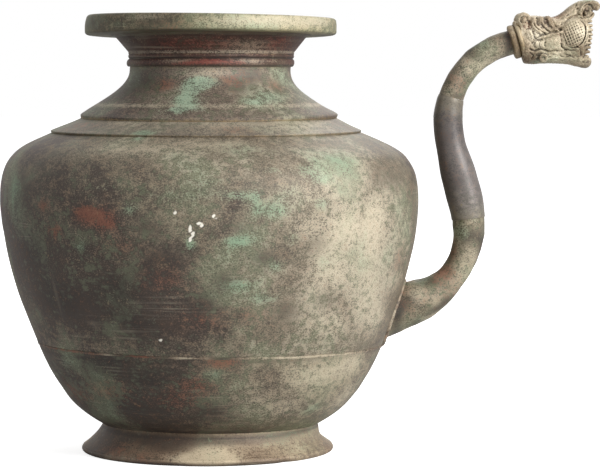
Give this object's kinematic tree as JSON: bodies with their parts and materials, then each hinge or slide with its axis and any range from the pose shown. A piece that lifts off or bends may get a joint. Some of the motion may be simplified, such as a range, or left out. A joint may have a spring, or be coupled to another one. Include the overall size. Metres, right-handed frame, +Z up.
{
  "type": "kamandal water pot",
  "caption": "Round-bellied spouted water pot with a ring foot, a necked mouth with a flat rim, and a curved spout that ends in a beast's open jaws.",
  "frame": {"origin": "on the ground, at the middle of the foot", "axes": "+Z up along the pot's axis and out of its mouth, +X towards the spout, +Y completes the right-handed set"},
  "size_m": [0.3584, 0.2496, 0.2695],
  "materials": {
    "cast_foot": "old cast brass, dark patina with a buff deposit, rough satin",
    "brazing": "dull brazing metal, paler than the walls",
    "bowl_patina": "dark brown patina with fine turned lines, satin",
    "body_patina": "olive-brown patina with green spots and a buff deposit, satin",
    "collar_patina": "brown patina, satin",
    "neck_patina": "olive-brown patina with a pale green patch, satin",
    "red_bronze": "dark red-brown patina, satin",
    "rim_patina": "olive-yellow patina, satin",
    "spout_patina": "hammered brass with an olive patina, satin",
    "shaft_patina": "smooth grey-brown metal, polished by the hand",
    "head_patina": "cast brass, worn pale on the heights and dark in the hollows"
  },
  "bodies": {
    "root": {"foot_ring": "cast_foot", "foot_braze": "brazing", "lower_bowl": "bowl_patina", "belly_braze": "brazing", "upper_body": "body_patina", "shoulder_collar": "collar_patina", "neck": "neck_patina", "neck_band": "red_bronze", "mouth_funnel": "red_bronze", "rim_braze": "brazing", "rim_ring": "rim_patina", "spout_braze": "brazing", "spout_elbow": "spout_patina", "spout_shaft": "shaft_patina", "spout_crook": "spout_patina", "spout_ferrule": "head_patina", "makara_head": "head_patina"}
  },
  "joints": []
}
